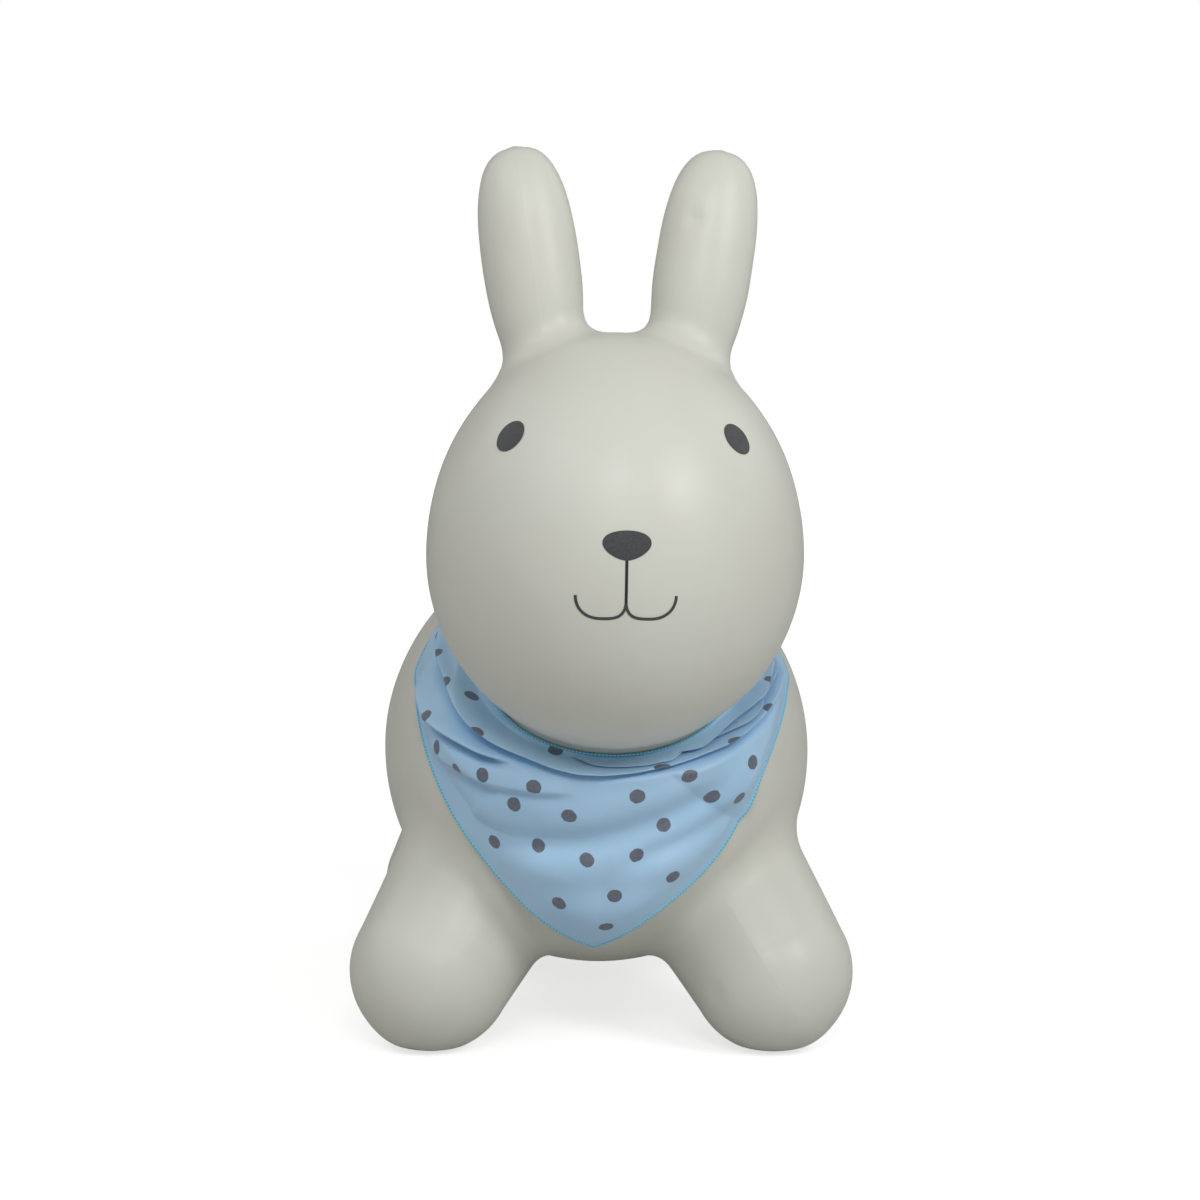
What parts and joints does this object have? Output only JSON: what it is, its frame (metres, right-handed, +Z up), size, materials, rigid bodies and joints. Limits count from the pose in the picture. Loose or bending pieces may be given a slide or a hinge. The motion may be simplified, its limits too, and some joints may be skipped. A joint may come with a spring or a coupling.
{
  "type": "animal hopper ball",
  "caption": "Inflated rabbit-shaped ride-on hopper with bending ears, stub legs, a printed face, an air valve with its plug and a dotted bandana tied round the neck.",
  "frame": {"origin": "on the floor, under the middle of the whole toy", "axes": "+Z up, the rabbit looks along -Y, its own left side is +X"},
  "size_m": [0.3048, 0.4951, 0.5363],
  "materials": {
    "skin": "satin soft PVC, pale warm grey",
    "ink": "matt printed ink, charcoal",
    "valve": "soft vinyl, off-white",
    "cloth": "satin weave, pale blue with grey dots",
    "thread": "overlock thread, cyan"
  },
  "bodies": {
    "skin": {"trunk_shell": "skin", "head_shell": "skin", "front_left_leg": "skin", "front_right_leg": "skin", "rear_left_leg": "skin", "rear_right_leg": "skin", "tail": "skin", "left_eye": "ink", "right_eye": "ink", "nose": "ink", "mouth": "ink", "valve_seat": "valve", "scarf_collar": "cloth", "scarf_knot": "cloth"},
    "left_ear": {"left_ear": "skin"},
    "right_ear": {"right_ear": "skin"},
    "valve_plug": {"valve_plug": "valve"},
    "bib": {"scarf_bib": "cloth", "bib_hem": "thread"},
    "left_scarf_end": {"left_scarf_end": "cloth"},
    "right_scarf_end": {"right_scarf_end": "cloth"}
  },
  "joints": [
    {"name": "left_ear_bend", "type": "hinge", "parent": "skin", "child": "left_ear", "pos_m": [0.0413, -0.1215, 0.41535], "axis": [0.9888, 0, -0.1495], "range_deg": [-25, 25], "stiffness_Nm_per_rad": 1.5},
    {"name": "right_ear_bend", "type": "hinge", "parent": "skin", "child": "right_ear", "pos_m": [-0.0413, -0.1215, 0.41535], "axis": [0.9888, 0, 0.1495], "range_deg": [-25, 25], "stiffness_Nm_per_rad": 1.5},
    {"name": "valve_plug_pull", "type": "slide", "parent": "skin", "child": "valve_plug", "axis": [0, 0.6701, -0.7423], "range_m": [0, 0.024]},
    {"name": "bib_lift", "type": "hinge", "parent": "skin", "child": "bib", "pos_m": [0, -0.14609, 0.16759], "axis": [-1, 0, 0], "range_deg": [0, 35]},
    {"name": "left_scarf_end_lift", "type": "hinge", "parent": "skin", "child": "left_scarf_end", "pos_m": [0.00753, 0.00982, 0.29814], "axis": [0.7819, -0.6109, -0.1239], "range_deg": [0, 60]},
    {"name": "right_scarf_end_lift", "type": "hinge", "parent": "skin", "child": "right_scarf_end", "pos_m": [-0.00753, 0.00982, 0.29814], "axis": [0.7819, 0.6109, 0.1239], "range_deg": [0, 60]}
  ]
}
